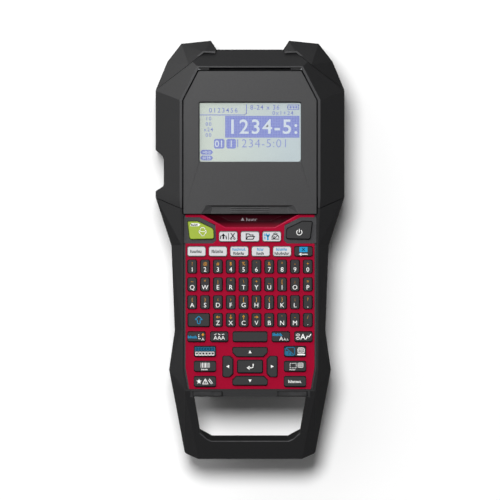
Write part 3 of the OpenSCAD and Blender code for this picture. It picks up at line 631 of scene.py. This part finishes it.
def menu_legends():
    keys = KeyInk("menu_keys")
    (fx, fy), (ox, oy), (sx, sy) = keys.spots
    dark = keys["dark"]
    # Feed and cut: an arrow between two feet, a bar and open scissors.
    dark.polygon([(fx - 4.6, fy + 0.3), (fx - 1.8, fy + 0.3), (fx - 3.2, fy + 2.1)])
    dark.stroke([(fx - 3.2, fy - 1.2), (fx - 3.2, fy + 0.5)], 1.0)
    dark.stroke([(fx - 5.2, fy - 1.5), (fx - 4.9, fy + 0.3)], 0.7)
    dark.stroke([(fx - 1.2, fy - 1.5), (fx - 1.5, fy + 0.3)], 0.7)
    dark.stroke([(fx + 0.2, fy - 2.0), (fx + 0.2, fy + 2.0)], 0.4)
    dark.stroke([(fx + 1.9, fy + 2.0), (fx + 3.9, fy - 0.8)], 0.6)
    dark.stroke([(fx + 4.1, fy + 2.0), (fx + 2.1, fy - 0.8)], 0.6)
    dark.arc(fx + 1.9, fy - 1.4, 0.55, 0.45, 0, 360, 10)
    dark.arc(fx + 4.1, fy - 1.4, 0.55, 0.45, 0, 360, 10)
    # Folder.
    dark.stroke([(ox - 2.5, oy - 1.7), (ox - 2.5, oy + 1.7), (ox - 0.7, oy + 1.7), (ox, oy + 1.0),
                 (ox + 2.0, oy + 1.0), (ox + 2.0, oy)], 0.6)
    dark.stroke([(ox - 2.5, oy - 1.8), (ox - 1.3, oy), (ox + 3.0, oy), (ox + 1.9, oy - 1.8),
                 (ox - 2.5, oy - 1.8)], 0.6)
    # Spanner with a scale, and a gauge under a handle.
    blue = keys["cyan"]
    blue.stroke([(sx - 2.6, sy - 1.9), (sx - 2.6, sy + 0.6)], 1.1)
    blue.arc(sx - 2.6, sy + 1.2, 0.95, 0.8, 130, 410, 12)
    for i in range(4):
        blue.bar(sx - 4.7, sy + 1.6 - i * 1.05, 1.3, 0.6)
    dark.arc(sx + 2.4, sy - 0.9, 2.3, 0.6, 0, 180, 16)
    dark.stroke([(sx + 0.1, sy - 1.7), (sx + 4.7, sy - 1.7)], 0.6)
    dark.arc(sx + 1.5, sy - 0.7, 0.6, 0.5, 0, 360, 10)
    dark.stroke([(sx + 2.2, sy - 0.9), (sx + 3.5, sy + 0.4)], 0.5)
    dark.stroke([(sx + 1.2, sy + 1.9), (sx + 2.2, sy + 2.3), (sx + 3.6, sy + 1.9)], 0.4)
    keys.done()


def label_type_legends():
    keys = KeyInk("label_type_keys")
    tall = ("05", "0136", "049", "0258", "026")
    for i, (x, y) in enumerate(keys.spots):
        if i < 2:
            keys["dark"].word(x, y, 7.8, 2.1, tall[i], 0.9)
        else:
            keys["cyan"].word(x, y + 1.4, (8.6, 4.4, 7.4)[i - 2], 1.9, tall[i], 0.85)
            keys["dark"].word(x, y - 1.3, (7.4, 5.0, 9.4)[i - 2], 1.9, tall[i - 1], 0.85)
    keys.done()


def backspace_legend():
    keys = KeyInk("backspace_key")
    (x, y), = keys.spots
    keys["cyan"].bar(x, y + 1.2, 5.4, 3.4)
    keys["dark"].stroke([(x - 0.8, y + 0.4), (x + 0.8, y + 2.0)], 0.4)
    keys["dark"].stroke([(x - 0.8, y + 2.0), (x + 0.8, y + 0.4)], 0.4)
    keys["white"].stroke([(x - 1.4, y - 1.9), (x + 2.5, y - 1.9)], 0.55)
    keys["white"].polygon([(x - 3.1, y - 1.9), (x - 1.3, y - 0.9), (x - 1.3, y - 2.9)])
    keys.done()


def shift_legend():
    keys = KeyInk("shift_key")
    (x, y), = keys.spots
    keys["cyan"].stroke([(x - 2.4, y + 0.2), (x, y + 2.6), (x + 2.4, y + 0.2), (x + 0.9, y + 0.2),
                         (x + 0.9, y - 2.4), (x - 0.9, y - 2.4), (x - 0.9, y + 0.2),
                         (x - 2.4, y + 0.2)], 0.42)
    keys.done()


def mode_legends():
    keys = KeyInk("mode_keys")
    caps, accents, style, size = keys.spots
    x, y = caps
    keys["cyan"].word(x - 2.4, y - 0.2, 6.0, 1.9, "026")
    keys["white"].text("A", x + 4.2, y - 1.6, 1.8)
    for i in range(3):
        keys["white"].bar(x + 1.5, y + 1.2 - i * 1.2, 0.6, 0.6)
    keys["white"].bar(x + 2.4, y - 1.4, 0.8, 0.4)
    keys["orange"].polygon([(x + 4.2, y + 2.4), (x + 5.1, y + 1.3), (x + 4.2, y + 0.3), (x + 3.3, y + 1.3)])
    x, y = accents
    for i, slope in enumerate((0.25, -0.25, 0.0)):
        left = x + (i - 1) * 2.5
        keys["white"].text("A", left, y - 0.7, 2.5, 0.0)
        keys["white"].stroke([(left - 0.6, y + 1.6 - slope), (left + 0.6, y + 1.6 + slope)], 0.4)
    x, y = style
    keys["cyan"].word(x - 2.0, y + 1.4, 6.2, 1.9, "0146")
    keys["white"].text("A", x + 0.3, y - 1.2, 2.6)
    keys["white"].text("A", x + 2.6, y - 1.7, 1.6)
    keys["white"].text("A", x + 4.4, y - 1.9, 1.2)
    x, y = size
    for side in (1, -1):
        keys["white"].outline(x - 3.6, y + side * 1.1, 2.2, 1.2, 0.4)
    keys["white"].text("A", x - 0.3, y, 3.4, 0.08)
    keys["white"].stroke([(x + 1.7, y - 1.6), (x + 2.9, y + 0.8), (x + 3.5, y - 0.6),
                          (x + 4.9, y + 1.6)], 0.6)
    keys.done()


def left_side_legends():
    keys = KeyInk("left_side_keys")
    x, y = keys.spots[0]
    keys["teal"].bar(x, y + 1.5, 13.0, 2.6)
    keys["white"].bar(x, y - 1.5, 12.6, 2.4)
    for i in range(6):
        left = x - 5.3 + i * 2.1
        keys["dark"].outline(left, y + 1.5, 1.2, 1.5, 0.45)
        keys["dark"].bar(left, y - 1.4, 1.25, 1.4)
        keys["dark"].bar(left + 1.05, y - 1.5, 0.3, 2.4)
    x, y = keys.spots[1]
    for i, width in enumerate((0.3, 0.7, 0.3, 1.0, 0.3, 0.6, 0.3)):
        keys["white"].bar(x - 2.7 + i * 0.95, y + 0.7, width * 0.75, 3.2)
    keys["white"].word(x, y - 2.1, 4.4, 0.9, "0246")
    x, y = keys.spots[2]
    star = [(0.75 if i % 2 else 1.9, math.radians(36 * i)) for i in range(10)]
    keys["white"].polygon([(x - 3.9 + r * math.sin(a), y + r * math.cos(a)) for r, a in star])
    keys["white"].stroke([(x - 1.6, y - 1.6), (x + 0.2, y + 1.8), (x + 2.0, y - 1.6),
                          (x - 1.6, y - 1.6)], 0.45)
    keys["white"].stroke([(x + 0.2, y - 0.7), (x + 0.2, y + 0.8)], 0.4)
    keys["white"].stroke([(x + 3.0, y + 1.6), (x + 5.0, y - 1.2)], 0.45)
    keys["white"].stroke([(x + 2.3, y + 0.9), (x + 4.2, y - 1.7), (x + 5.0, y - 1.2)], 0.4)
    keys.done()


def right_side_legends():
    keys = KeyInk("right_side_keys")
    x, y = keys.spots[0]
    keys["teal"].outline(x - 3.4, y, 6.2, 5.2, 0.5)
    keys["teal"].stroke([(x - 6.4, y + 2.5), (x - 0.4, y - 2.5)], 0.6)
    keys["teal"].bar(x - 5.2, y - 1.0, 1.8, 2.4)
    keys["teal"].bar(x - 3.2, y - 1.6, 1.4, 1.6)
    keys["white"].outline(x + 4.0, y + 0.6, 4.0, 3.2, 0.5)
    keys["white"].bar(x + 4.0, y + 1.1, 2.6, 0.4)
    keys["white"].bar(x + 4.0, y + 0.2, 2.6, 0.4)
    keys["white"].bar(x + 4.0, y - 2.1, 5.0, 0.9)
    x, y = keys.spots[1]
    for i in range(4):
        for side in (2.0, -1.0):
            keys["white"].bar(x - 2.9 + i * 1.1, y + side, 0.6, 0.4)
    for side in (-3.3, 0.8):
        for i in range(3):
            keys["white"].bar(x + side, y + 1.4 - i * 0.95, 0.4, 0.5)
    keys["white"].outline(x + 3.6, y + 0.7, 3.2, 2.8, 0.4)
    keys["white"].bar(x + 3.6, y + 1.0, 2.2, 0.35)
    keys["white"].bar(x + 3.6, y + 0.2, 2.2, 0.35)
    keys["white"].word(x - 1.6, y - 2.2, 3.6, 0.8, "03")
    x, y = keys.spots[2]
    keys["white"].word(x, y, 8.4, 1.9, "02", 0.8)
    keys.done()


def arrow_legends():
    for node, dx, dy in (("up_key", 0, 1), ("down_key", 0, -1), ("left_key", -1, 0), ("right_key", 1, 0)):
        keys = KeyInk(node)
        (x, y), = keys.spots
        foot_x, foot_y = x - dx * 0.8, y - dy * 0.8
        keys["white"].polygon([(x + dx * 1.1, y + dy * 1.1), (foot_x - dy * 1.05, foot_y + dx * 1.05),
                               (foot_x + dy * 1.05, foot_y - dx * 1.05)])
        keys.done()
    keys = KeyInk("enter_key")
    (x, y), = keys.spots
    white = keys["white"]
    white.polygon([(x - 2.1, y - 0.9), (x - 0.3, y + 0.5), (x - 0.3, y - 2.3)])
    white.stroke([(x - 0.5, y - 0.9), (x + 1.0, y - 0.9)], 0.75)
    white.arc(x + 1.0, y + 0.2, 1.1, 0.7, -90, 0, 8)
    white.stroke([(x + 2.1, y + 0.2), (x + 2.1, y + 1.4)], 0.7)
    keys.done()


# ---------------------------------------------------------------- display

WINDOW_LIP = 2.0  # mm of the window that the lid covers on each side


def window_opening():
    """Middle, width and height of the visible part of the window, in mm."""
    lo, hi = (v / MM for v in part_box("display_window"))
    return (lo.x + hi.x) / 2, (lo.y + hi.y) / 2, hi.x - lo.x - 2 * WINDOW_LIP, hi.y - lo.y - 2 * WINDOW_LIP


def tag(layer, x, y, w, h, cut_x, cut_y):
    """Box around its centre with cut corners."""
    x0, x1, y0, y1 = x - w / 2, x + w / 2, y - h / 2, y + h / 2
    layer.polygon([(x0, y0 + cut_y), (x0 + cut_x, y0), (x1 - cut_x, y0), (x1, y0 + cut_y),
                   (x1, y1 - cut_y), (x1 - cut_x, y1), (x0 + cut_x, y1), (x0, y1 - cut_y)])


def display_dots():
    """What the display shows: dark cells in the pattern of a label editor, with plain figures only."""
    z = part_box("lcd_module")[1].z + 0.04 * MM
    body = BODY_OF["lcd_module"]
    x, y, w, h = window_opening()
    left, top = x - w / 2, y + h / 2
    dots = Print("display_dots", body, z, lattice("display_cells", srgb("#4a58b4"), srgb("#7e8ccc"), 1.05))
    # Mode tab and its title.
    dots.stroke([(left + 1.0, top - 8.7), (left + 30.2, top - 8.7), (left + 31.5, top - 7.6),
                 (left + 31.5, top - 2.0)], 0.55)
    dots.text("0123456", left + 16.2, top - 5.6, 3.0, 0.02, 1.3)
    dots.text("8-24 x 36", left + 43.6, top - 3.7, 3.0, 0.02, 1.15)
    dots.text("0x1+24", left + 55.5, top - 7.4, 2.7, 0.02, 1.2)
    # Battery sign.
    dots.outline(left + 62.4, top - 3.6, 7.0, 2.9, 0.5)
    dots.bar(left + 58.6, top - 3.6, 0.6, 1.4)
    for i in range(3):
        dots.bar(left + 60.6 + i * 1.9, top - 3.6, 1.3, 1.6)
    # Tape size column.
    for i, figures in enumerate(("10", "00", "x24", "00")):
        dots.text(figures, left + 6.4, top - 11.1 - i * 3.6, 2.5, 0.02, 1.2)
    # Selected block; its figures are a pale print on top.
    dots.bar(left + 41.9, top - 16.5, 49.0, 14.4)
    tag(dots, left + 13.5, top - 27.7, 6.9, 6.4, 0.8, 0.8)
    tag(dots, left + 21.4, top - 27.7, 6.3, 6.4, 0.8, 0.8)
    dots.text("1234-5:01", left + 41.4, top - 27.4, 5.4, -0.08, 1.12)
    for i in range(2):
        y = top - 33.3 - i * 3.8
        dots.polygon([(left + 0.8, y), (left + 2.2, y + 1.6), (left + 8.1, y + 1.6), (left + 9.5, y),
                      (left + 8.1, y - 1.6), (left + 2.2, y - 1.6)])
    dots.done()

    clear = Print("display_clear_dots", body, z + 0.06 * MM,
                  lattice("display_clear_cells", srgb("#c9d3d6"), srgb("#bcc7dc"), 1.05))
    clear.text("1234-5:", left + 42.2, top - 16.4, 9.2, 0.16, 1.15)
    clear.text("01", left + 13.5, top - 27.7, 4.2, 0.05)
    clear.text("1", left + 21.4, top - 27.7, 4.2, 0.05)
    clear.text("+0-0", left + 5.2, top - 33.3, 1.8, 0.04)
    clear.text("0123", left + 5.2, top - 37.1, 1.8, 0.04)
    clear.done()


def window_recess_shadow():
    """Painted shadow of the lid's window recess as a black band on the window, wider at the top and the left.
    """
    x, y, w, h = window_opening()
    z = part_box("display_window")[1].z + 0.02 * MM
    # Painted shadow: dark ink where the recess wall shades the display.
    recess_shadow = Print("window_recess_shadow", BODY_OF["display_window"], z, INKS["dark"])
    recess_shadow.bar(x, y + h / 2 - 0.3, w, 0.7)
    recess_shadow.bar(x, y - h / 2 + 0.1, w, 0.25)
    recess_shadow.bar(x - w / 2 + 0.25, y, 0.6, h)
    recess_shadow.bar(x + w / 2 - 0.15, y, 0.35, h)
    for sx in (-1, 1):
        for sy in (-1, 1):
            cx, cy = x + sx * (w / 2 - 0.3), y + sy * (h / 2 - 0.4)
            recess_shadow.polygon([(cx, cy), (cx - sx * 1.3, cy), (cx - sx * 0.4, cy - sy * 0.4),
                            (cx, cy - sy * 1.3)])
    recess_shadow.done()


def lattice(name, colour, gap_colour, pitch_mm):
    """Liquid-crystal cells with gaps of another tone between them."""
    s = Shader(name, specular=0.3)
    gaps = [s.maths("LESS_THAN", s.maths("WRAP", s.axis(axis), pitch_mm * MM, 0.0), pitch_mm * 0.25 * MM)
            for axis in ("X", "Y")]
    s.colour(s.ramp(s.maths("MAXIMUM", *gaps), colour, gap_colour, 0.0, 1.0))
    s.roughness(s.span(s.noise(5, 2), 0.45, 0.6))
    return s.material


def scoop_mark():
    """Opening sign on the floor of the finger scoop: a triangle and a stand-in for a word."""
    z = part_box("keypad_bezel")[1].z - 3.15 * MM
    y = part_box("keypad_bezel")[1].y / MM - 3.2
    mark = Print("opening_mark", BODY_OF["keypad_bezel"], z, INKS["dim"])
    mark.polygon([(-6.1, y - 0.8), (-3.7, y - 0.8), (-4.9, y + 1.2)])
    mark.word(1.2, y, 7.0, 2.0, "0", 1.0)
    mark.done()


# ---------------------------------------------------------------- studio

FLOOR_SIZE = 12.0  # metres
ROOM_LIGHT = 0.095
WINDOW_DIRECTION = (-0.72, 0.58, 0.42)
LENS_MM = 800
SENSOR_MM = 36
VIEW_WIDTH = 0.330  # metres shown across the picture


def area_light(name, location, size, power, target=(0, 0, 0.03), gloss=True, spread=True):
    light = bpy.data.lights.new(name, "AREA")
    light.shape = "DISK"
    light.size = size
    light.energy = power
    lamp = bpy.data.objects.new(name, light)
    bpy.context.scene.collection.objects.link(lamp)
    lamp.location = location
    lamp.rotation_euler = (Vector(target) - Vector(location)).to_track_quat("-Z", "Y").to_euler()
    lamp.visible_camera = False
    lamp.visible_glossy = gloss
    lamp.visible_diffuse = spread


def floor():
    """Plain white paper floor."""
    mesh = bpy.data.meshes.new("floor")
    mesh.from_pydata([(x, y, 0) for x, y in box_corners(0, 0, FLOOR_SIZE, FLOOR_SIZE)], [], [(0, 1, 2, 3)])
    paper = bpy.data.objects.new("floor", mesh)
    bpy.context.scene.collection.objects.link(paper)
    s = Shader("floor_white", specular=0.0)
    s.bsdf.inputs["Base Color"].default_value = (0.98, 0.98, 0.98, 1)
    s.bsdf.inputs["Roughness"].default_value = 1.0
    s.bsdf.inputs["Emission Color"].default_value = (1, 1, 1, 1)
    s.bsdf.inputs["Emission Strength"].default_value = 0.012
    mesh.materials.append(s.material)
    paper.visible_glossy = False


def lobe(nodes, links, direction, sharpness, power):
    """World light around one direction: power * max(0, cosine) ** sharpness."""
    coords = nodes.new("ShaderNodeTexCoord")
    cosine = nodes.new("ShaderNodeVectorMath")
    cosine.operation = "DOT_PRODUCT"
    cosine.inputs[1].default_value = Vector(direction).normalized()
    links.new(coords.outputs["Generated"], cosine.inputs[0])
    facing = math_node(nodes, links, "MAXIMUM", cosine.outputs["Value"], 0.0)
    return math_node(nodes, links, "MULTIPLY", math_node(nodes, links, "POWER", facing, sharpness), power)


def studio_air():
    """World light: a dim room with a broad soft window at the upper left."""
    world = bpy.data.worlds.new("studio_air")
    world.use_nodes = True
    nodes, links = world.node_tree.nodes, world.node_tree.links
    window = lobe(nodes, links, WINDOW_DIRECTION, 4, 1.15)
    air = math_node(nodes, links, "ADD", ROOM_LIGHT, window)
    links.new(air, nodes["Background"].inputs["Strength"])
    nodes["Background"].inputs["Color"].default_value = (1, 1, 1, 1)
    bpy.context.scene.world = world


def studio():
    scene = bpy.context.scene
    floor()
    studio_air()
    area_light("overhead", (-0.15, 0.46, 2.2), 0.62, 44.5, gloss=False)
    area_light("sheen", (-0.22, 0.38, 0.6), 0.4, 3.6, spread=False)
    scene.view_settings.view_transform = "Standard"
    scene.view_settings.look = "None"

    camera = bpy.data.cameras.new("camera")
    camera.lens, camera.sensor_width = LENS_MM, SENSOR_MM
    camera.clip_end = 100
    view = bpy.data.objects.new("camera", camera)
    scene.collection.objects.link(view)
    view.location = (0, 0, VIEW_WIDTH * LENS_MM / SENSOR_MM + 0.06)
    scene.camera = view


finish_nodes()
letter_legends()
print_legend()
power_legend()
menu_legends()
label_type_legends()
backspace_legend()
shift_legend()
mode_legends()
left_side_legends()
right_side_legends()
arrow_legends()
display_dots()
window_recess_shadow()
scoop_mark()
studio()
